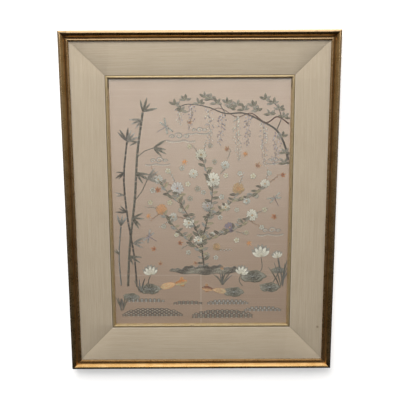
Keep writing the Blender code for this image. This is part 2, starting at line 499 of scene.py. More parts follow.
def silkMaterial(look):
    material, wire = newMaterial("ribbed silk")
    where = wire.node("ShaderNodeTexCoord", out=3)
    x, _, z = where.parts()
    z = z - centre.z
    wander = where.grain(9.0, 2.0) * 0.0016
    ribPlace = (z + wander) * (look["ribsPerMetre"] * 2 * math.pi)
    uneven = wire.vector(x * 9.0, 0.0, z * 700.0).grain(1.0, 3.0, 0.65)
    streaks = wire.vector(x * 3.0, 1.0, z * 320.0).grain(1.0, 3.0, 0.6)
    warp = wire.vector(x * 1500.0, 2.0, z * 40.0).grain(1.0, 2.0)
    cloudy = where.grain(5.0, 3.0)
    tone = (uneven * 0.4 + streaks * 0.4 + warp * 0.2).step(0.34, 0.68)
    body = tone.blend(look["deep"], look["pale"])
    body = (0.30 + cloudy * 0.3).blend(look["ground"], body)
    aged = (cloudy.step(0.42, 0.72) * 0.15).blend(body, look["deep"])
    downCrease = x.band(0.0, 0.0042) * z.step(-0.10, -0.18)
    crossCrease = (z + look["crossCreaseBelow"]).band(0.0, 0.0040)
    rubbed = (downCrease * 0.50 + crossCrease * 0.30) * (0.6 + uneven * 0.8)
    line = (streaks.step(0.64, 0.72) * 0.30).clamped()
    surface = (rubbed + line).clamped().blend(aged, look["creaseColour"])
    rib = ribPlace.sine() * 0.5 + uneven * 0.9 + warp * 0.25
    finishWith(wire, {
        "Base Color": surface, "Roughness": 0.36 + uneven * 0.12, "Normal": rib.bump(0.00030, 0.40),
        "Specular IOR Level": 0.85, "Sheen Weight": 0.12, "Sheen Roughness": 0.35,
        "Sheen Tint": rgb(1.0, 0.93, 0.84),
    })
    return material


def makeSilk():
    cellsX, cellsZ = silk["cells"]
    deselectAll()
    bpy.ops.mesh.primitive_grid_add(x_subdivisions=cellsX, y_subdivisions=cellsZ, size=1.0,
                                    rotation=(math.pi / 2, 0, 0))
    piece = bpy.context.object
    piece.name = "silk_ground"
    piece.scale = (silkSize[0], silkSize[1], 1.0)
    bpy.ops.object.transform_apply(location=True, rotation=True, scale=True)
    places = placesOf(piece.data)
    places[:, 1] = silkFace(places[:, 0], places[:, 2])
    places[:, 2] += centre.z
    movePoints(piece.data, places)
    applyModifier(piece, "SOLIDIFY", thickness=silk["thickness"] - 0.0001, offset=-1.0)
    makeActive(piece)
    bpy.ops.object.shade_smooth_by_angle(angle=math.radians(40))
    wear(piece, silkMaterial(silk))
    dress(piece, "silk", "silk_panel")
    print("Silk ground made")
    return piece


# Embroidery in silk floss. Every strand is a closed spindle that lies on the silk; places on
# the panel are (x, z) from its centre, and motifs are laid in the order that they overlap.

stitching = {
    "pitch": 0.00080, "width": 0.00104, "height": 0.00030, "rings": (0.09, 0.50, 0.91),
    "fullness": (0.86, 1.0, 0.86), "sunk": 0.00008, "uneven": 0.09, "stemStitch": 0.0052, "joint": 0.040,
}
floss = {
    "white": (0.760, 0.725, 0.645), "ivory": (0.600, 0.545, 0.445), "grey": (0.340, 0.315, 0.280),
    "ash": (0.165, 0.138, 0.112), "umber": (0.046, 0.036, 0.029), "orange": (0.640, 0.255, 0.080),
    "apricot": (0.620, 0.380, 0.205), "rust": (0.210, 0.075, 0.048), "sage": (0.212, 0.193, 0.150),
    "moss": (0.094, 0.082, 0.061), "slate": (0.164, 0.168, 0.168), "mist": (0.345, 0.345, 0.330),
    "lilac": (0.320, 0.265, 0.325), "plum": (0.125, 0.082, 0.120), "straw": (0.480, 0.405, 0.245),
}


# Gathers strands for one piece; their starts, middles and ends are arrays of places, n by 2
class Needle:
    def __init__(self, seed):
        self.dice = np.random.RandomState(seed)
        self.strands = []

    def lay(self, start, middle, end, colour, width=1.0, lift=0.0):
        count = len(start)
        shade = 1 + self.dice.uniform(-1, 1, (count, 1)) * stitching["uneven"]
        wide = np.broadcast_to(np.asarray(width, dtype=float), (count,)) * stitching["width"]
        high = np.broadcast_to(np.asarray(lift, dtype=float), (count,))
        dyed = np.broadcast_to(np.asarray(colour, dtype=float), (count, 3)) * shade
        self.strands.append((start, middle, end, wide, dyed, high))


# One mesh from all of a needle's strands: tip, three rings of three points, tip
def stitchPiece(name, needle, material):
    start, middle, end, width, dyed, lift = (np.concatenate(part) for part in zip(*needle.strands))
    count = len(start)
    control = 2 * middle - (start + end) / 2
    along = end - start
    along /= np.maximum(np.linalg.norm(along, axis=1, keepdims=True), 1e-9)
    side = np.stack([-along[:, 1], along[:, 0]], axis=1)
    perStrand = 2 + 3 * len(stitching["rings"])
    tip, lastRing = perStrand - 1, perStrand - 4
    points = np.empty((count, perStrand, 3))

    def put(index, place, height):
        points[:, index, 0] = place[:, 0]
        points[:, index, 1] = silkFace(place[:, 0], place[:, 1]) + stitching["sunk"] - lift - height
        points[:, index, 2] = place[:, 1] + centre.z

    put(0, start, 0.0)
    put(tip, end, 0.0)
    for ring, (t, full) in enumerate(zip(stitching["rings"], stitching["fullness"])):
        spine = (1 - t) ** 2 * start + 2 * t * (1 - t) * control + t ** 2 * end
        reach = side * (width * full / 2)[:, None]
        put(1 + ring * 3, spine - reach, 0.0)
        put(2 + ring * 3, spine, stitching["height"] * full + stitching["sunk"])
        put(3 + ring * 3, spine + reach, 0.0)
    corners = ((0, 1), (1, 2), (2, 0))
    faces = [(0, 2, 1), (0, 3, 2), (0, 1, 3)] + [(lastRing + a, lastRing + b, tip) for a, b in corners]
    for ring in range(1, lastRing, 3):
        for a, b in corners:
            faces.append((ring + a, ring + b, ring + b + 3))
            faces.append((ring + a, ring + b + 3, ring + a + 3))
    triangles = (np.arange(count)[:, None, None] * perStrand + np.array(faces)[None]).reshape(-1, 3)
    mesh = bpy.data.meshes.new(name)
    mesh.vertices.add(count * perStrand)
    mesh.vertices.foreach_set("co", points.ravel())
    mesh.loops.add(triangles.size)
    mesh.loops.foreach_set("vertex_index", triangles.ravel())
    mesh.polygons.add(len(triangles))
    mesh.polygons.foreach_set("loop_start", np.arange(len(triangles)) * 3)
    mesh.update(calc_edges=True)
    colour = mesh.color_attributes.new("floss", "FLOAT_COLOR", "POINT")
    rgba = np.ones((count, perStrand, 4))
    rgba[:, :, :3] = np.clip(dyed, 0.0, 1.0)[:, None, :]
    colour.data.foreach_set("color", rgba.ravel())
    bakeMap = mesh.uv_layers.new(name="OFBake")
    flat = points.reshape(-1, 3)[triangles.ravel()]
    across, up = flat[:, 0] / silkSize[0] + 0.5, (flat[:, 2] - centre.z) / silkSize[1] + 0.5
    bakeMap.data.foreach_set("uv", np.stack([across, up], axis=1).ravel())
    mesh.validate()
    piece = bpy.data.objects.new(name, mesh)
    bpy.context.scene.collection.objects.link(piece)
    makeActive(piece)
    bpy.ops.object.shade_smooth()
    wear(piece, material)
    dress(piece, "silk")
    print("  ", name, count, "strands")
    return piece


# Places from lengths along and across a direction, bent sideways towards the far end
def placed(base, angle, length, along, across, bend=0.0):
    across = across + bend * length * (along / length) ** 2
    turn = math.radians(angle)
    x = base[0] + along * math.cos(turn) - across * math.sin(turn)
    z = base[1] + along * math.sin(turn) + across * math.cos(turn)
    return np.stack([x, z], axis=1)


def mixed(first, second, share):
    share = np.clip(np.atleast_1d(share), 0.0, 1.0)[:, None]
    return np.asarray(floss[first]) * (1 - share) + np.asarray(floss[second]) * share


# Half a petal's width at a share of its length; pointed 0 gives a round end, 1 a pointed one
def petalHalf(share, width, pointed):
    share = np.clip(share, 0.0, 1.0)
    roundEnd = 0.28 + 0.72 * share ** 0.75
    point = np.sin(math.pi * np.clip(share * 0.94 + 0.05, 0, 1)) ** 0.8
    return width / 2 * (roundEnd * (1 - pointed) + point * pointed)


# A thin strand along each edge of a petal and over its tip
def outlinePetal(needle, base, angle, length, width, pointed=0.0, bend=0.0, lift=0.0, first=0.0):
    edge = 1 - 0.24 * (1 - pointed)
    runs = [((first, (first + edge) / 2, edge), (1.0, 1.0, 1.0)),
            ((edge, 1 - 0.06 * (1 - pointed), 1.0), (1.0, 0.55, 0.0))]
    for side in (-1, 1):
        for along, across in runs:
            along = np.array(along)
            reach = side * np.array(across) * petalHalf(along, width, pointed)
            spots = placed(base, angle, length, along * length, reach, bend)
            needle.lay(spots[:1], spots[1:2], spots[2:], floss["ash"], width=0.5, lift=lift)


# A petal in long and short stitch
def petal(needle, base, angle, length, width, inner, outer, pointed=0.0, bend=0.0, lift=0.0, rows=2,
          first=0.0, spread=1.0):
    count = max(2, round(width / (stitching["pitch"] * spread)))
    v = (np.arange(count) + 0.5) / count * 2 - 1
    end = 1 - 0.24 * (1 - pointed) * v ** 2
    for row in reversed(range(rows)):
        s0 = first + (end - first) * row / rows
        s1 = first + (end - first) * (row + 1) / rows
        if row:
            s0 = s0 - needle.dice.uniform(0.03, 0.16, count) * (end - first)
        if row < rows - 1:
            s1 = s1 + needle.dice.uniform(-0.03, 0.10, count) * (end - first)
        sm = (s0 + s1) / 2
        path = [placed(base, angle, length, s * length, v * petalHalf(s, width, pointed), bend)
                for s in (s0, sm, s1)]
        tone = mixed(inner, outer, (sm - first) / (1 - first))
        needle.lay(*path, tone, lift=lift + 0.00003 * (rows - row))


# A leaf in slanting satin stitch each side of its midrib
def leaf(needle, base, angle, length, width, dark, light, bend=0.0, lift=0.0):
    count = max(4, round(length / (stitching["pitch"] * 1.05)))
    s = np.arange(count) / count * 0.84 + 0.02
    reach = np.minimum(s + 0.20, 1.0)
    half = width / 2 * np.sin(math.pi * np.clip(reach * 0.97, 0, 1)) ** 0.75
    for turned, first, second in ((1, dark, light), (-1, light, dark)):
        ends = [(s, 0 * half), ((s + reach) / 2, turned * half * 0.56), (reach, turned * half)]
        path = [placed(base, angle, length, a * length, b, bend) for a, b in ends]
        needle.lay(*path, mixed(first, second, 0.25 + 0.5 * s), lift=lift)
    steps = np.linspace(0.0, 0.94, max(3, round(length / 0.006)))
    path = [placed(base, angle, length, part * length, 0 * part, bend)
            for part in (steps[:-1], (steps[:-1] + steps[1:]) / 2, steps[1:] + 0.03)]
    needle.lay(*path, floss["straw"], width=0.75, lift=lift + 0.00022)


# Evenly spaced places on a smooth curve through the given ones
def curveThrough(places, spacing):
    places = np.array(places, dtype=float)
    padded = np.vstack([2 * places[0] - places[1], places, 2 * places[-1] - places[-2]])
    t = np.linspace(0, 1, 24, endpoint=False)[:, None]
    parts = []
    for a, b, c, d in zip(padded, padded[1:], padded[2:], padded[3:]):
        parts.append(0.5 * (2 * b + (c - a) * t + (2 * a - 5 * b + 4 * c - d) * t ** 2
                            + (3 * b - a - 3 * c + d) * t ** 3))
    dense = np.vstack(parts + [places[-1:]])
    run = np.concatenate([[0.0], np.cumsum(np.linalg.norm(np.diff(dense, axis=0), axis=1))])
    count = max(3, round(run[-1] / spacing) + 1)
    even = np.linspace(0, run[-1], count)
    return np.stack([np.interp(even, run, dense[:, 0]), np.interp(even, run, dense[:, 1])], axis=1)


# Stem stitch: overlapping strands along a curve, side by side across its width
def stem(needle, places, wide, narrow, dark, light, lift=0.0):
    line = curveThrough(places, stitching["stemStitch"] / 2)
    along = np.gradient(line, axis=0)
    along /= np.linalg.norm(along, axis=1, keepdims=True)
    side = np.stack([-along[:, 1], along[:, 0]], axis=1)
    share = np.linspace(0, 1, len(line))
    width = wide + (narrow - wide) * share
    tracks = max(1, round(wide / stitching["pitch"]))
    for track in range(tracks):
        across = (track + 0.5) / tracks - 0.5
        first = track % 2
        places = line + side * (across * width)[:, None]
        starts = np.arange(first, len(line) - 2, 2)
        if len(starts) == 0:
            starts = np.array([0])
        tone = mixed(dark, light, np.full(len(starts), across + 0.5))
        needle.lay(places[starts], places[starts + 1], places[starts + 2], tone,
                   width=np.clip(width[starts] / tracks / stitching["pitch"] * 1.1, 0.45, 1.2),
                   lift=lift + 0.00004 * (track % 3))
    return line


def knots(needle, places, colour, size=1.35, lift=0.0003):
    places = np.atleast_2d(np.asarray(places, dtype=float))
    turn = needle.dice.uniform(0, math.pi, len(places))
    reach = np.stack([np.cos(turn), np.sin(turn)], axis=1) * stitching["width"] * size * 0.62
    needle.lay(places - reach, places, places + reach, floss[colour], width=size, lift=lift)


def around(place, radius, count):
    angles = np.arange(count) * 2 * math.pi / count
    return np.stack([place[0] + radius * np.cos(angles), place[1] + radius * np.sin(angles)], axis=1)


# Full chrysanthemum: rings of outlined petals round a knotted middle
def chrysanthemum(needle, place, radius, inner, outer):
    rings = ((1.00, 13, 0.42, 0.0), (0.74, 11, 0.34, 0.00025), (0.50, 8, 0.28, 0.00050))
    for ring, (size, count, width, lift) in enumerate(rings):
        for i in range(count):
            angle = (i + ring * 0.5) * 360.0 / count + needle.dice.uniform(-4, 4)
            length = radius * size * needle.dice.uniform(0.92, 1.04)
            bend = needle.dice.uniform(-0.12, 0.12)
            petal(needle, place, angle, length, radius * width, inner, outer, 0.2, bend, lift, first=0.22)
            outlinePetal(needle, place, angle, length, radius * width, 0.2, bend, lift + 0.00012, 0.22)
    knots(needle, around(place, radius * 0.15, 7), "straw", lift=0.0008)
    knots(needle, around(place, radius * 0.06, 4), "orange", lift=0.0009)


# Five outlined round petals and a few knots
def blossom(needle, place, radius, inner, outer, turn):
    for i in range(5):
        angle, width, lift = turn + i * 72.0, radius * 0.95, 0.0001 * (i % 2)
        petal(needle, place, angle, radius, width, inner, outer, lift=lift,
              rows=1 if radius < 0.007 else 2, first=0.12)
        outlinePetal(needle, place, angle, radius, width, lift=0.0002 + lift, first=0.2)
    knots(needle, around(place, radius * 0.20, 5), "straw", size=1.0, lift=0.0005)


# Thin twig with buds on both sides
def sprig(needle, place, angle, length, pale, deep):
    tip = placed(place, angle, length, np.array([0.0, length * 0.5, length]), np.zeros(3), 0.16)
    line = stem(needle, [tuple(spot) for spot in tip], 0.0009, 0.0007, "umber", "ash", lift=0.0003)
    for i, spot in enumerate(line[1::2]):
        lean = (48 if i % 2 else -48) + needle.dice.uniform(-12, 12)
        size = needle.dice.uniform(0.0034, 0.0052)
        petal(needle, spot, angle + lean, size, size * 0.8, deep, pale, lift=0.0004, rows=1, first=0.1)


# Lotus seen from the side: a fan of pointed petals on a short cup
def lotus(needle, place, size, tilt):
    layers = ((62, 6, 1.0, "ash", "grey", 0.0001), (78, 5, 0.82, "ivory", "white", 0.0004),
              (40, 3, 0.72, "ivory", "white", 0.00065))
    for spread, count, length, inner, outer, lift in layers:
        for i in range(count):
            lean = -spread + 2 * spread * i / (count - 1)
            angle, reach = 90 + tilt + lean, size * length * (1 - 0.0012 * abs(lean))
            petal(needle, place, angle, reach, size * 0.36, inner, outer, pointed=0.85, bend=-lean / 300.0,
                  lift=lift, rows=3)
            outlinePetal(needle, place, angle, reach, size * 0.36, 0.85, -lean / 300.0, lift + 0.0002)
    knots(needle, around((place[0], place[1] + size * 0.05), size * 0.06, 6), "straw", lift=0.0012)


# Round lotus leaf, foreshortened, its strands running out from the stalk
def lotusLeaf(needle, place, size, turn, flat=0.5):
    count = round(2 * math.pi * size * 0.80 / stitching["pitch"])
    angles = np.arange(count) * 2 * math.pi / count
    rim = size * (1 + 0.07 * np.sin(angles * 5 + turn) + 0.04 * np.sin(angles * 9 + 2 * turn))

    def spot(share):
        return np.stack([place[0] + rim * share * np.cos(angles),
                         place[1] + rim * share * np.sin(angles) * flat], axis=1)

    for low, high, tone, every in ((0.60, 1.0, 0.95, 1), (0.26, 0.66, 0.45, 2), (0.03, 0.32, 0.08, 4)):
        pick = np.arange(count) % every == 0
        jitter = needle.dice.uniform(-0.04, 0.04, count)
        path = [spot(share)[pick] for share in (low + jitter, (low + high) / 2, np.full(count, high))]
        shade = np.full(pick.sum(), tone) + 0.15 * np.cos(angles[pick] - 1.9)
        needle.lay(*path, mixed("moss", "sage", shade), lift=0.00004 * every)
    for i in range(9):
        angle = turn + i * 2 * math.pi / 9
        tip = (place[0] + size * 0.86 * math.cos(angle), place[1] + size * 0.86 * math.sin(angle) * flat)
        halfway = ((place[0] + tip[0]) / 2, (place[1] + tip[1]) / 2 + 0.0006)
        stem(needle, [place, halfway, tip], 0.0008, 0.0008, "mist", "mist", lift=0.00035)


# Bamboo: jointed canes in lengthwise satin, and blades in threes and fours
def cane(needle, places, width, dark, light):
    line = curveThrough(places, stitching["joint"])
    for low, high in zip(line[:-1], line[1:]):
        run = high - low
        angle = math.degrees(math.atan2(run[1], run[0]))
        length = float(np.linalg.norm(run)) * 0.965
        tracks = max(3, round(width / stitching["pitch"]))
        across = (np.arange(tracks) + 0.5) / tracks * 2 - 1
        flare = width / 2 * across
        for part in range(3):
            a, b = length * part / 3 - (0.001 if part else 0), length * (part + 1) / 3
            wave = needle.dice.uniform(-0.0012, 0.0012, tracks)
            path = [placed(low, angle, length, np.clip(s + wave, 0, length),
                           flare * (1.0 + 0.16 * abs(2 * s / length - 1) ** 3))
                    for s in (a, (a + b) / 2, b)]
            needle.lay(*path, mixed(dark, light, (across + 1) / 2), lift=0.0002)
        ring = placed(low, angle, length, np.zeros(2), np.array([-0.62, 0.62]) * width)
        needle.lay(ring[:1], ring.mean(0)[None], ring[1:], floss["umber"], width=1.1, lift=0.0005)


def blades(needle, place, angle, count, length, dark, light):
    for i in range(count):
        lean = (i - (count - 1) / 2) * 27 + needle.dice.uniform(-6, 6)
        size = length * needle.dice.uniform(0.75, 1.05)
        petal(needle, place, angle + lean, size, size * 0.17, dark, light, pointed=1.0,
              bend=needle.dice.uniform(-0.10, 0.10), lift=0.0003 + 0.0001 * i, rows=3)


# Hanging raceme: small florets crowded round a thin stem, fewer and smaller towards the tip
def raceme(needle, place, length, sway, pale, deep):
    line = stem(needle, [place, (place[0] + sway * 0.4, place[1] - length * 0.5),
                         (place[0] + sway, place[1] - length)], 0.0010, 0.0008, "moss", "sage")
    tones = ((deep, pale), (pale, "white"), (deep, "grey"))
    count = round(length / 0.0018)
    for i in range(count):
        share = (i + 0.5) / count
        spot = line[min(len(line) - 1, int(share * len(line)))]
        across = needle.dice.uniform(-1, 1)
        full = 0.0100 * math.sin(math.pi * (0.16 + 0.80 * share)) ** 0.7
        size = needle.dice.uniform(0.0044, 0.0064) * (1 - 0.42 * share)
        base = (spot[0] + full * across, spot[1] + needle.dice.uniform(-0.002, 0.002))
        angle = -90 + across * 55 + needle.dice.uniform(-15, 15)
        petal(needle, base, angle, size, size * 0.78, *tones[i % 3], lift=0.0002 + 0.0001 * (i % 4), rows=1,
              first=0.05)


def mapleLeaf(needle, place, size, angle, dark, light):
    for lean, length in ((-104, 0.52), (-52, 0.82), (0, 1.0), (52, 0.82), (104, 0.52)):
        petal(needle, place, angle + lean, size * length, size * 0.30, dark, light, pointed=0.9, rows=2,
              lift=0.0002 + 0.00005 * (lean == 0))
    base = placed(place, angle + 180, size, np.array([0.0, size * 0.3, size * 0.6]), np.zeros(3))
    needle.lay(base[:1], base[1:2], base[2:], floss[dark], width=0.7, lift=0.0001)


# Goldfish: scaled body, fins and a long soft tail of nine strips; flip -1 turns its back down
def goldfish(needle, place, angle, size, back, belly, flip):
    length, height = size * 0.56, size * 0.26
    for i in range(9):
        lean = (i - 4) * 9.5
        petal(needle, place, angle + (180 + lean) * flip, size * (0.80 - 0.05 * abs(i - 4)), size * 0.060,
              (back, "apricot")[i % 2], ("apricot", "straw")[i % 2], pointed=0.85,
              bend=-lean / 70.0 * flip, rows=3, lift=0.0001 + 0.0001 * (i % 2))
    for lean, reach, wide in ((62, 0.30, 0.20), (-64, 0.24, 0.14), (-100, 0.20, 0.10)):
        start = placed(place, angle, length, np.array([length * 0.45]), np.array([0.0]))[0]
        petal(needle, start, angle + lean * flip, size * reach, size * wide, back, "apricot", lift=0.0002)
    rows, tracks = 7, max(5, round(height / stitching["pitch"]))
    v = (np.arange(tracks) + 0.5) / tracks * 2 - 1
    for row in range(rows):
        s0, s1 = row / rows, min(1.0, (row + 1.35) / rows)

        def outline(s):
            return height / 2 * np.sin(math.pi * np.clip(0.10 + 0.86 * s, 0, 1)) ** 0.7

        wave = 0.05 * np.cos(v * 9.0 + row * math.pi)
        path = [placed(place, angle, length, np.clip(s + wave, 0, 1) * length, v * outline(s))
                for s in (s0, (s0 + s1) / 2, s1)]
        tone = mixed(back, belly, np.clip(0.5 - v * flip * 0.9 + 0.25 * (row % 2) - 0.1, 0, 1))
        needle.lay(*path, tone, lift=0.0005 + 0.00003 * row)
    eye = placed(place, angle, length, np.array([length * 0.86]), np.array([height * 0.16 * flip]))
    knots(needle, eye, "white", size=2.0, lift=0.0009)
    knots(needle, eye, "umber", size=1.1, lift=0.0012)


def dragonfly(needle, place, angle, size, wing, body):
    head = placed(place, angle, size, np.array([size * 0.16]), np.array([0.0]))[0]
    for lean, reach in ((68, 0.60), (112, 0.52), (-68, 0.60), (-112, 0.52)):
        petal(needle, place, angle + lean, size * reach, size * 0.15, wing, "white", pointed=0.45,
              lift=0.0002, spread=1.5)
        outlinePetal(needle, place, angle + lean, size * reach, size * 0.15, 0.45, lift=0.0004)
        along = np.array([0.0, size * reach * 0.5, size * reach])
        vein = placed(place, angle + lean, size, along, np.zeros(3))
        needle.lay(vein[:1], vein[1:2], vein[2:], floss["ash"], width=0.6, lift=0.0005)
    tail = placed(place, angle, size, np.array([size * 0.10, -size * 0.32, -size * 0.72]), np.zeros(3))
    stem(needle, [tuple(p) for p in tail], 0.0022, 0.0010, body, "lilac", lift=0.0005)
    knots(needle, around(head, 0.0009, 3), "umber", size=1.3, lift=0.0008)


# Curling cloud in three tones: for each, three spirals of stem stitch over a wavy line
def cloud(needle, place, size, turned):
    for line, tone in enumerate(("slate", "mist", "white")):
        for shift, scale in ((-0.64, 0.60), (0.0, 1.0), (0.72, 0.68)):
            spiral = []
            for k in range(12):
                reach = size * scale * (0.50 - 0.10 * line) * (1 - 0.062 * k)
                turn = math.radians(200 - 38 * k)
                spiral.append((place[0] + turned * (size * shift + reach * math.cos(turn)),
                               place[1] + size * scale * 0.12 + reach * 0.8 * math.sin(turn)))
            stem(needle, spiral, 0.0011, 0.0009, tone, tone, lift=0.0001 * line)
        drift = [(place[0] + turned * size * (0.55 * k - 1.2),
                  place[1] + size * (0.07 * math.cos(2.2 * k) - 0.30 - 0.08 * line)) for k in range(6)]
        stem(needle, drift, 0.0011, 0.0008, tone, tone, lift=0.0001 * line)


# Water: a low mound of overlapping round ripples, its rows shorter towards the top
def ripples(needle, left, right, level, size, rows, tones):
    middle, reach = (left + right) / 2, (right - left) / 2
    for row in reversed(range(rows)):
        z = level + row * size * 0.46
        wide = reach * math.sqrt(1 - (row / rows) ** 2)
        count = max(1, round(2 * wide / (size * 1.55)))
        for i in range(count):
            edge = 1 - abs(2 * (i + 0.5) / count - 1) ** 4
            x = middle + (i + 0.5 - count / 2) * size * 1.55
            lift = 0.00012 * (rows - row)
            for ring, tone in enumerate(tones):
                radius = size * (0.78 - 0.17 * ring)
                pieces = max(4, round(radius * 2.6 / 0.0042))
                turn = np.linspace(math.radians(14), math.radians(166), pieces)
                rise = radius * 0.62 * np.sin(turn) * (0.6 + 0.4 * edge)
                spots = np.stack([x + radius * np.cos(turn), z + rise], axis=1)
                for shift in (0.0, 0.0009):
                    inner = spots - (spots - np.array([x, z])) * (shift / radius)
                    between = (inner[:-1] + inner[1:]) / 2
                    needle.lay(inner[:-1], between, inner[1:], floss[tone], lift=lift)


def reeds(needle, place, count, height, spread, tones):
    for i in range(count):
        lean = (i - (count - 1) / 2) / max(1, count - 1) * spread + needle.dice.uniform(-3, 3)
        size = height * needle.dice.uniform(0.6, 1.0)
        x = place[0] + needle.dice.uniform(-0.006, 0.006)
        petal(needle, (x, place[1]), 90 - lean, size, 0.0038, tones[i % 4], tones[(i + 1) % 4],
              pointed=0.95, bend=-lean / 130.0, rows=4, lift=0.0002 + 0.00008 * (i % 4))


def flossMaterial():
    material, wire = newMaterial("silk floss")
    where = wire.node("ShaderNodeTexCoord", out=3)
    dye = wire.node("ShaderNodeAttribute", {"attribute_name": "floss"})
    x, _, z = where.parts()
    fibre = wire.vector(x * 2600.0, 0.0, z * 2600.0).grain(1.0, 2.0)
    worn = where.grain(30.0, 3.0)
    lively = (worn * 0.35 + fibre * 0.65).step(0.30, 0.70)
    faded = wire.node("ShaderNodeMix", {"data_type": "RGBA", "blend_type": "MULTIPLY"},
                      {0: 1.0, 6: dye, 7: lively.blend(grey(0.86), grey(1.0))}, out=2)
    finishWith(wire, {
        "Base Color": faded, "Roughness": 0.34 + fibre * 0.14, "Specular IOR Level": 0.6,
        "Sheen Weight": 0.20, "Sheen Roughness": 0.30, "Normal": fibre.bump(0.00008, 0.5),
    })
    return material


# A place on the panel in millimetres from its centre
def at(x, z):
    return (x * 0.001, z * 0.001)


# Bamboo up the left side: canes as places, width and tones; blades as place, angle, count,
# length and tones
bamboo = {
    "canes": [
        ([(-214, -242), (-206, -120), (-188, 20), (-178, 150), (-160, 268)], 6.4, "moss", "sage"),
        ([(-188, -244), (-194, -150), (-210, -40), (-218, 80), (-206, 186)], 5.0, "umber", "ash"),
        ([(-234, -240), (-238, -150), (-230, -60)], 4.0, "moss", "mist"),
        ([(-190, 12), (-168, 40), (-150, 78)], 2.2, "moss", "sage"),
        ([(-179, 140), (-156, 158), (-132, 166)], 2.2, "moss", "sage"),
    ],
    "blades": [
        (-160, 268, 60, 4, 40, "moss", "sage"), (-163, 246, 200, 3, 36, "ash", "grey"),
        (-132, 166, -12, 4, 42, "moss", "sage"), (-150, 78, 20, 4, 40, "ash", "grey"),
        (-206, 186, 118, 3, 38, "umber", "ash"), (-207, 182, 52, 3, 36, "ash", "grey"),
        (-216, 96, 208, 3, 30, "umber", "ash"), (-182, 96, -34, 3, 40, "moss", "sage"),
        (-196, -36, -24, 4, 42, "moss", "sage"), (-213, -20, 152, 3, 32, "umber", "ash"),
        (-230, -60, 84, 3, 34, "moss", "mist"), (-196, -112, 4, 3, 38, "ash", "grey"),
        (-236, -146, 136, 2, 22, "moss", "sage"), (-176, 184, 196, 2, 30, "moss", "sage"),
        (-208, -150, -40, 3, 36, "moss", "sage"), (-218, 30, 166, 2, 28, "ash", "grey"),
    ],
}


def stitchBamboo(needle):
    for places, width, dark, light in bamboo["canes"]:
        cane(needle, [at(*place) for place in places], width * 0.001, dark, light)
    for x, z, angle, count, length, dark, light in bamboo["blades"]:
        blades(needle, at(x, z), angle, count, length * 0.001, dark, light)


# Wisteria from the upper right: vines, racemes as place, length, sway and tones, and leaves
wisteria = {
    "vines": [
        ([(249, 128), (236, 176), (214, 214), (172, 240), (122, 262), (70, 262), (20, 280), (-34, 288),
          (-66, 276)], 6.4, 1.8, "umber", "ash"),
        ([(249, 232), (216, 252), (184, 236), (142, 262), (102, 252), (58, 276), (28, 270)], 4.0, 1.4,
         "umber", "rust"),
        ([(214, 214), (226, 250), (212, 284), (180, 300)], 3.0, 1.2, "umber", "ash"),
        ([(70, 262), (50, 292), (20, 304)], 2.2, 1.0, "umber", "ash"),
    ],
    "racemes": [
        (218, 208, 92, -10, "lilac", "plum"), (176, 236, 122, 8, "ivory", "lilac"),
        (136, 256, 84, -6, "lilac", "plum"), (100, 256, 126, 10, "ivory", "mist"),
        (62, 262, 88, -8, "lilac", "plum"), (24, 276, 104, 6, "ivory", "lilac"),
        (-22, 286, 66, -8, "lilac", "plum"), (-60, 278, 46, 4, "ivory", "lilac"),
    ],
    "leaves": [
        (236, 250), (222, 272), (204, 290), (182, 300), (196, 258), (160, 268), (148, 282), (122, 272),
        (104, 284), (84, 276), (46, 290), (30, 302), (14, 306), (-2, 290), (-40, 300), (-70, 286),
        (240, 150), (232, 196), (76, 290), (-50, 268), (240, 120),
    ],
}


# A stem through places in millimetres, tapering from its first width to its second
def stemThrough(needle, places, wide, narrow, dark, light, lift=0.0002):
    places = [at(*place) for place in places]
    return stem(needle, places, wide * 0.001, narrow * 0.001, dark, light, lift)


def stitchWisteria(needle):
    for vine in wisteria["vines"]:
        stemThrough(needle, *vine)
    for x, z, length, sway, pale, deep in wisteria["racemes"]:
        raceme(needle, at(x, z), length * 0.001, sway * 0.001, pale, deep)
    tones = (("moss", "sage"), ("ash", "grey"), ("moss", "grey"), ("umber", "sage"))
    for i, place in enumerate(wisteria["leaves"]):
        for k, lean in enumerate((150, 100, 40, -15)):
            angle = lean + needle.dice.uniform(-14, 14) + 20 * (i % 3)
            leaf(needle, at(*place), angle, 0.019 - 0.0012 * k, 0.0072, *tones[(i + k) % 4], lift=0.0005)


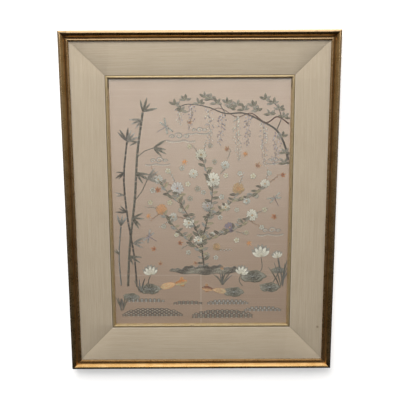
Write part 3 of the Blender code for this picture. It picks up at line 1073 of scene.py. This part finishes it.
# Chrysanthemums in the middle: stems as places, first and last width and tones; flowers as
# place, radius and tones; loose blossoms; sprigs as place, angle and length
garden = {
    "stems": [
        ([(10, -190), (4, -120), (16, -56), (30, 0), (36, 66)], 4.6, 2.0, "umber", "moss"),
        ([(8, -130), (-18, -60), (-50, -6), (-66, 46)], 3.2, 1.6, "umber", "moss"),
        ([(18, -40), (58, -14), (88, 8), (108, 44)], 3.2, 1.6, "moss", "sage"),
        ([(8, -104), (66, -84), (112, -62), (148, -30)], 3.2, 1.6, "umber", "ash"),
        ([(6, -140), (-44, -96), (-82, -56), (-112, -14)], 3.0, 1.4, "moss", "sage"),
        ([(34, 60), (18, 96), (4, 142)], 2.4, 1.4, "moss", "sage"),
        ([(90, 12), (136, 20), (182, 60)], 2.0, 1.2, "umber", "ash"),
        ([(-52, 0), (-88, 30), (-118, 74)], 2.0, 1.2, "umber", "ash"),
    ],
    "flowers": [
        (36, 74, 22, "ivory", "white"), (-66, 50, 19, "lilac", "white"),
        (108, 48, 18, "orange", "straw"), (148, -30, 18, "ivory", "white"),
        (-112, -12, 17, "orange", "apricot"), (2, 146, 17, "straw", "white"),
        (20, -2, 17, "lilac", "ivory"), (-34, -52, 18, "ivory", "white"),
        (84, -66, 16, "plum", "lilac"), (184, 62, 14, "ivory", "white"),
        (-120, 76, 14, "grey", "white"), (70, 116, 13, "mist", "white"),
        (-20, 92, 14, "ivory", "white"), (72, -6, 13, "straw", "white"),
        (-78, -34, 13, "grey", "white"), (-6, -104, 15, "ivory", "white"),
        (46, -124, 12, "orange", "straw"), (132, 12, 11, "mist", "white"),
    ],
    "blossoms": [
        (72, 86), (-30, 20), (60, 24), (-88, 8), (56, -36), (104, -14), (-70, -88), (18, -148),
        (34, -86), (132, -82), (-136, 44), (160, 26), (-92, 100), (-8, 48), (112, 92), (184, -14),
        (-52, 108), (-106, -62), (104, -104), (40, 126), (196, 92), (-30, 170), (44, -156), (-36, -140),
        (-36, 62), (112, -46), (176, -66), (-144, 8), (8, 38), (-58, -14), (150, 84), (28, 172),
    ],
    "sprigs": [
        (8, 150, 70, 34), (-6, 150, 118, 30), (196, 66, 30, 34), (188, 76, 74, 28),
        (158, -24, 14, 38), (-122, 82, 112, 34), (-130, 76, 156, 30), (-122, -8, 168, 34),
        (-118, -26, 206, 28), (110, 60, 62, 34), (92, -74, -24, 40), (-84, 58, 150, 34),
        (-72, 66, 108, 32), (56, 90, 46, 34), (-44, -40, 158, 34), (54, -132, -10, 36),
        (-20, -112, 196, 40), (140, -44, -40, 32), (-88, -44, 206, 34), (76, 132, 64, 30),
    ],
}


def stitchGarden(needle):
    tones = (("moss", "sage"), ("ash", "grey"), ("umber", "ash"), ("moss", "sage"), ("slate", "mist"),
             ("ash", "straw"))
    made = 0
    for stalk in garden["stems"]:
        for spot in stemThrough(needle, *stalk)[4:-4:3]:
            made += 1
            angle = (40 if made % 2 else 150) + needle.dice.uniform(-34, 34)
            size = needle.dice.uniform(0.014, 0.022)
            bend = needle.dice.uniform(-0.2, 0.2)
            leaf(needle, spot, angle, size, size * 0.42, *tones[made % 6], bend=bend, lift=0.0004)


def stitchSprigs(needle):
    buds = (("white", "grey"), ("ivory", "ash"), ("apricot", "rust"))
    for i, (x, z, angle, length) in enumerate(garden["sprigs"]):
        sprig(needle, at(x, z), angle, length * 0.001, *buds[i % 3])
    for i, (x, z) in enumerate(garden["blossoms"]):
        blossom(needle, at(x, z), needle.dice.uniform(0.0066, 0.0092), ("straw", "ash", "grey")[i % 3],
                ("white", "ivory")[i % 2], turn=needle.dice.uniform(0, 72))


def stitchFlowers(needle):
    for x, z, radius, inner, outer in garden["flowers"]:
        chrysanthemum(needle, at(x, z), radius * 0.001, inner, outer)


# Pond along the bottom. Ripples: left, right, level, size, rows and tones from the outer ring in;
# bank: left, right and level; pads: place and size; lotuses: place, size and tilt; stalks: places;
# reeds: place, count, height and spread
brownWater, paleWater = ("umber", "ash", "grey", "ivory"), ("ash", "slate", "mist", "white")
pond = {
    "ripples": [
        (-236, -52, -336, 9, 6, brownWater), (-30, 156, -342, 9, 6, brownWater),
        (124, 240, -322, 8, 4, paleWater), (18, 140, -300, 8, 4, paleWater),
        (-220, -104, -292, 8, 3, paleWater), (-84, 6, -300, 8, 3, brownWater),
    ],
    "bank": (-92, 128, -196),
    "pads": [
        (152, -214, 38), (202, -248, 30), (96, -262, 30), (-150, -252, 32), (226, -196, 20),
        (-206, -276, 24),
    ],
    "lotuses": [(176, -152, 36, 6), (118, -206, 28, -14), (-146, -206, 30, 8), (224, -156, 22, 14)],
    "stalks": [
        ((158, -216), (178, -190), (176, -156)), ((122, -244), (112, -226), (118, -208)),
        ((-150, -250), (-154, -228), (-146, -208)), ((212, -232), (228, -196), (224, -160)),
    ],
    "reeds": [
        (236, -246, 7, 104, 40), (-232, -318, 6, 62, 34), (66, -240, 7, 54, 60), (-178, -262, 5, 46, 44),
    ],
}


# Bank in three rows of upright satin, strewn with dark and pale knots
def stitchBank(needle, left, right, level):
    count = round((right - left) / stitching["pitch"])
    x = left + (np.arange(count) + 0.5) * stitching["pitch"]
    share = (x - left) / (right - left)
    rough = 0.0030 * np.sin(share * 31.0) + 0.002 * np.sin(share * 67.0)
    crest = level + 0.017 * np.sin(math.pi * share) ** 0.7 + rough
    foot = level - 0.012 * np.sin(math.pi * share) ** 0.5 + 0.0020 * np.sin(share * 23.0)
    for row in reversed(range(3)):
        high = crest + (foot - crest) * row / 3 + needle.dice.uniform(0, 0.002, count) * bool(row)
        low = crest + (foot - crest) * (row + 1) / 3
        path = [np.stack([x, z], axis=1) for z in (high, (high + low) / 2, low)]
        tone = mixed("ash", "grey" if row == 0 else "ivory", 0.30 + 0.30 * np.sin(share * 19.0 + row))
        needle.lay(*path, tone, lift=0.0001 * (3 - row))
    for tone, number in (("umber", 420), ("ivory", 120)):
        dots = needle.dice.randint(0, count, number)
        height = crest[dots] + (foot[dots] - crest[dots]) * needle.dice.uniform(0.08, 0.92, number)
        knots(needle, np.stack([x[dots], height], axis=1), tone, size=1.1, lift=0.0006)


def stitchWaves(needle):
    for left, right, level, size, rows, tones in pond["ripples"]:
        ripples(needle, left * 0.001, right * 0.001, level * 0.001, size * 0.001, rows, tones)


def stitchPond(needle):
    stitchBank(needle, *(value * 0.001 for value in pond["bank"]))
    for x, z, count, height, spread in pond["reeds"]:
        reeds(needle, at(x, z), count, height * 0.001, spread, ("moss", "sage", "ash", "slate"))
    for x, z, size in pond["pads"]:
        lotusLeaf(needle, at(x, z), size * 0.001, turn=x)  # each pad turned its own way
    for places in pond["stalks"]:
        stemThrough(needle, places, 2.6, 1.8, "moss", "sage", lift=0.0004)
    for x, z, size, tilt in pond["lotuses"]:
        lotus(needle, at(x, z), size * 0.001, tilt)


# Fish: place, angle, size, tones and which way up; dragonflies: place, angle, size and tones;
# clouds: place, size and direction; maple leaves: place, size and angle
life = {
    "fish": [(-74, -236, 14, 62, "orange", "straw", 1), (34, -254, 170, 56, "rust", "apricot", -1)],
    "dragonflies": [
        (-96, 226, 32, 42, "mist", "slate"), (-150, -92, 148, 38, "lilac", "plum"),
        (212, 20, 116, 38, "mist", "rust"),
    ],
    "clouds": [
        (-60, 196, 30, 1), (-116, 128, 26, -1), (206, -78, 28, -1), (-2, 214, 22, -1), (212, 128, 22, 1),
    ],
    "leaves": [
        (-124, 44, 14, 30), (-46, 128, 13, -60), (162, 112, 14, 70), (214, -34, 13, 200),
        (-152, -30, 12, -30), (76, 160, 13, 120), (-62, -112, 12, 10), (138, -112, 13, -40),
        (-30, 236, 12, 80), (-134, -130, 12, 160), (60, -190, 11, 40), (-14, -172, 11, 200),
        (232, 86, 12, 20), (128, 150, 12, 250), (-118, -176, 11, 90),
    ],
}


def stitchLife(needle):
    for x, z, size, turned in life["clouds"]:
        cloud(needle, at(x, z), size * 0.001, turned)
    autumn = (("rust", "orange"), ("orange", "apricot"), ("rust", "apricot"))
    for i, (x, z, size, angle) in enumerate(life["leaves"]):
        mapleLeaf(needle, at(x, z), size * 0.001, angle, *autumn[i % 3])
    for x, z, angle, size, back, belly, flip in life["fish"]:
        goldfish(needle, at(x, z), angle, size * 0.001, back, belly, flip)
    for x, z, angle, size, wing, body in life["dragonflies"]:
        dragonfly(needle, at(x, z), angle, size * 0.001, wing, body)


# Stitched pieces, each with its seed and what works it
stitchWork = [
    ("stitched_bamboo", 3, stitchBamboo), ("stitched_wisteria", 5, stitchWisteria),
    ("stitched_branches", 7, stitchGarden), ("stitched_sprigs", 9, stitchSprigs),
    ("stitched_chrysanthemums", 11, stitchFlowers), ("stitched_lotus_pond", 13, stitchPond),
    ("stitched_waves", 15, stitchWaves), ("stitched_fish_and_dragonflies", 17, stitchLife),
]


def makeStitches():
    material = flossMaterial()
    pieces = []
    for name, seed, work in stitchWork:
        needle = Needle(seed)
        work(needle)
        pieces.append(stitchPiece(name, needle, material))
    print("Embroidery made")
    return pieces


# Board behind, finished on its own node

board = {
    "brown": rgb(0.34, 0.25, 0.17), "deepBrown": rgb(0.25, 0.17, 0.11), "fleck": rgb(0.16, 0.10, 0.06),
}


def boardMaterial(look):
    material, wire = newMaterial("plain backing board")
    where = wire.node("ShaderNodeTexCoord", out=3)
    x, _, z = where.parts()
    fibres = wire.vector(x * 30.0, 0.0, z * 420.0).grain(1.0, 3.0)
    cloudy = where.grain(11.0, 3.0)
    flecks = where.grain(260.0, 2.0).step(0.66, 0.72)
    body = (cloudy * 0.6 + fibres * 0.4).step(0.36, 0.66).blend(look["brown"], look["deepBrown"])
    finishWith(wire, {
        "Base Color": (flecks * 0.5).blend(body, look["fleck"]), "Roughness": 0.80 + fibres * 0.12,
        "Normal": fibres.bump(0.0003, 0.4), "Specular IOR Level": 0.25,
    })
    return material


def makeBoard():
    finish = boardMaterial(board)
    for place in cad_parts["backing_board"].material_slots:
        place.material = finish
    print("Backing board finished")


# Camera, at the photograph's own viewing angle

cameraLook = {
    "place": (-0.0015, -1.9750, centre.z + 0.4325), "pitchDown": 11.981, "roll": -0.280, "lens": 63.18,
}


def makeCamera():
    bpy.ops.object.camera_add(location=cameraLook["place"])
    camera = bpy.context.object
    turn = Matrix.Rotation(math.radians(90 - cameraLook["pitchDown"]), 4, "X")
    roll = Matrix.Rotation(math.radians(cameraLook["roll"]), 4, "Z")
    camera.matrix_world = Matrix.Translation(cameraLook["place"]) @ turn @ roll
    camera.data.sensor_width = 36.0
    camera.data.lens = cameraLook["lens"]
    camera.data.clip_start = 0.05
    camera.data.dof.use_dof = False
    bpy.context.scene.camera = camera


# Plain wall behind, plain floor, and soft light from above in front

room = {
    "wallGap": 0.0010, "wallSize": 3.4, "wallGlow": 0.46, "wallWhite": rgb(0.80, 0.80, 0.80),
    "floorSize": 9.0, "floorColour": rgb(0.80, 0.79, 0.77),
    "sky": [
        (0.0, 0.015), (0.30, 0.020), (0.40, 0.09), (0.49, 0.34), (0.60, 0.16), (0.68, 0.15), (0.77, 1.35),
        (1.0, 1.50),
    ],
    "skyTint": rgb(1.0, 0.985, 0.96), "seen": rgb(0.93, 0.93, 0.93),
}
# name: place, where it points, size, power, colour, lights flat surfaces, shows in glossy ones
lamps = {
    "key_light": ((-0.38, -2.15, 1.35), centre, 1.50, 82.0, (1.0, 0.985, 0.965), True, False),
    "fill_light": ((0.90, -3.00, -0.90), centre, 2.4, 4.0, (1.0, 0.985, 0.970), True, False),
    "gleam_light": ((0.0, -2.00, 0.42), (0.0, 0.0, -0.10), 0.80, 76.0, (1.0, 0.940, 0.880), False, True),
    "gilding_light": ((0.0, -2.60, 0.80), (0.0, 0.0, 0.0), 1.40, 8.5, (1.0, 0.970, 0.930), False, True),
    "back_light": ((0.80, 2.60, 0.60), centre, 1.8, 60.0, (1.0, 0.985, 0.970), True, True),
}


# A plane of the stage that lights nothing and isn't mirrored in the gilding
def stagePlane(name, size, place, tilt):
    deselectAll()
    bpy.ops.mesh.primitive_plane_add(size=size, location=place, rotation=(tilt, 0, 0))
    plane = bpy.context.object
    plane.name = name
    plane.visible_diffuse = False
    plane.visible_glossy = False
    return plane


# White wall that glows a little and is clear from behind
def makeWall():
    wall = stagePlane("stage_wall", room["wallSize"], (0, room["wallGap"], centre.z), math.pi / 2)
    material, wire = newMaterial("white wall")
    paint = wire.node("ShaderNodeBsdfDiffuse", None, {"Color": room["wallWhite"]})
    glow = wire.node("ShaderNodeEmission", None, {"Strength": room["wallGlow"]})
    front = wire.node("ShaderNodeAddShader", None, {0: paint, 1: glow})
    through = wire.node("ShaderNodeBsdfTransparent")
    facing = wire.node("ShaderNodeNewGeometry", out=6)
    both = wire.node("ShaderNodeMixShader", None, {0: facing, 1: front, 2: through})
    wire.node("ShaderNodeOutputMaterial", None, {"Surface": both})
    wear(wall, material)
    wall.visible_transmission = False
    wall.visible_shadow = False


def makeFloor():
    ground = stagePlane("stage_floor", room["floorSize"], (0, 0, plainFloor), 0.0)
    material, wire = newMaterial("pale floor")
    finishWith(wire, {"Base Color": room["floorColour"], "Roughness": 0.9})
    wear(ground, material)


# Lamps named in litAlone light only the pieces given there
def makeLamps(litAlone):
    for name, (place, target, size, power, colour, flat, glossy) in lamps.items():
        bpy.ops.object.light_add(type="AREA", location=place)
        lamp = bpy.context.object
        lamp.name = name
        lamp.data.shape = "SQUARE"
        lamp.data.size = size
        lamp.data.energy = power
        lamp.data.color = colour
        lamp.rotation_euler = (Vector(target) - Vector(place)).to_track_quat("-Z", "Y").to_euler()
        lamp.visible_camera = False
        lamp.visible_diffuse = flat
        lamp.visible_glossy = glossy
        if name in litAlone:
            receivers = bpy.data.collections.new("lit by " + name)
            for piece in litAlone[name]:
                receivers.objects.link(piece)
            lamp.light_linking.receiver_collection = receivers


# Light sky above, dim room in front, dark below; the camera itself sees plain pale grey
def makeWorld():
    world = bpy.data.worlds.new("soft studio")
    bpy.context.scene.world = world
    world.use_nodes = True
    world.node_tree.nodes.clear()
    wire = Wire(world.node_tree)
    up = wire.node("ShaderNodeTexCoord", out=0).parts()[2]
    stops = [(place, grey(bright)) for place, bright in room["sky"]]
    bright = wire.node("ShaderNodeValToRGB", {"stops": stops}, {0: up * 0.5 + 0.5})
    lit = wire.node("ShaderNodeBackground", None, {"Color": room["skyTint"], "Strength": bright})
    seen = wire.node("ShaderNodeBackground", None, {"Color": room["seen"]})
    cameraRay = wire.node("ShaderNodeLightPath", out=0)
    both = wire.node("ShaderNodeMixShader", None, {0: cameraRay, 1: lit, 2: seen})
    wire.node("ShaderNodeOutputWorld", None, {"Surface": both})


makeCamera()
makeMoulding()
makeLiner()
makeSlip()
makePane()
silkGround = makeSilk()
stitchedPieces = makeStitches()
makeBoard()
makeWall()
makeFloor()
giltKinds = ("gilt_rail_", "gilt_slip_")
giltPieces = [bpy.data.objects[kind + side] for kind in giltKinds for side in sideNames]
makeLamps({"gleam_light": [silkGround] + stitchedPieces, "gilding_light": giltPieces})
makeWorld()
bpy.context.scene.view_settings.view_transform = "Standard"
